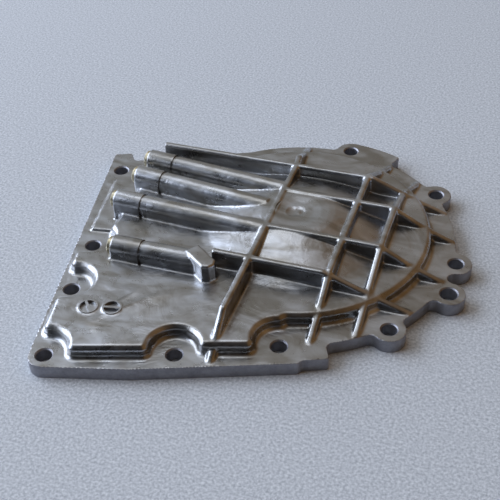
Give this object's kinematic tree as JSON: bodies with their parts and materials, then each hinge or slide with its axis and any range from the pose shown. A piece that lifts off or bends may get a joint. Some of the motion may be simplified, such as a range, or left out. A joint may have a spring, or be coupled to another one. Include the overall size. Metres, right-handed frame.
{
  "type": "die cast housing cover",
  "caption": "Flat die cast aluminium cover with a bolted flange, ribbed dome and plugged oil galleries that run in from its left edge.",
  "frame": {"origin": "centre of the dowel hole on the sealing face", "axes": "+X along the oil galleries from their plugs towards the dome, +Y away from the long front corner, +Z out of the cover, square to its sealing face"},
  "size_m": [0.2551, 0.2547, 0.0282],
  "materials": {
    "cast_aluminium": "as cast",
    "plug_brass": "turned"
  },
  "bodies": {
    "root": {"housing": "cast_aluminium", "gallery_plug_one": "plug_brass", "gallery_plug_two": "plug_brass", "gallery_plug_three": "plug_brass", "gallery_plug_four": "plug_brass"}
  },
  "joints": []
}
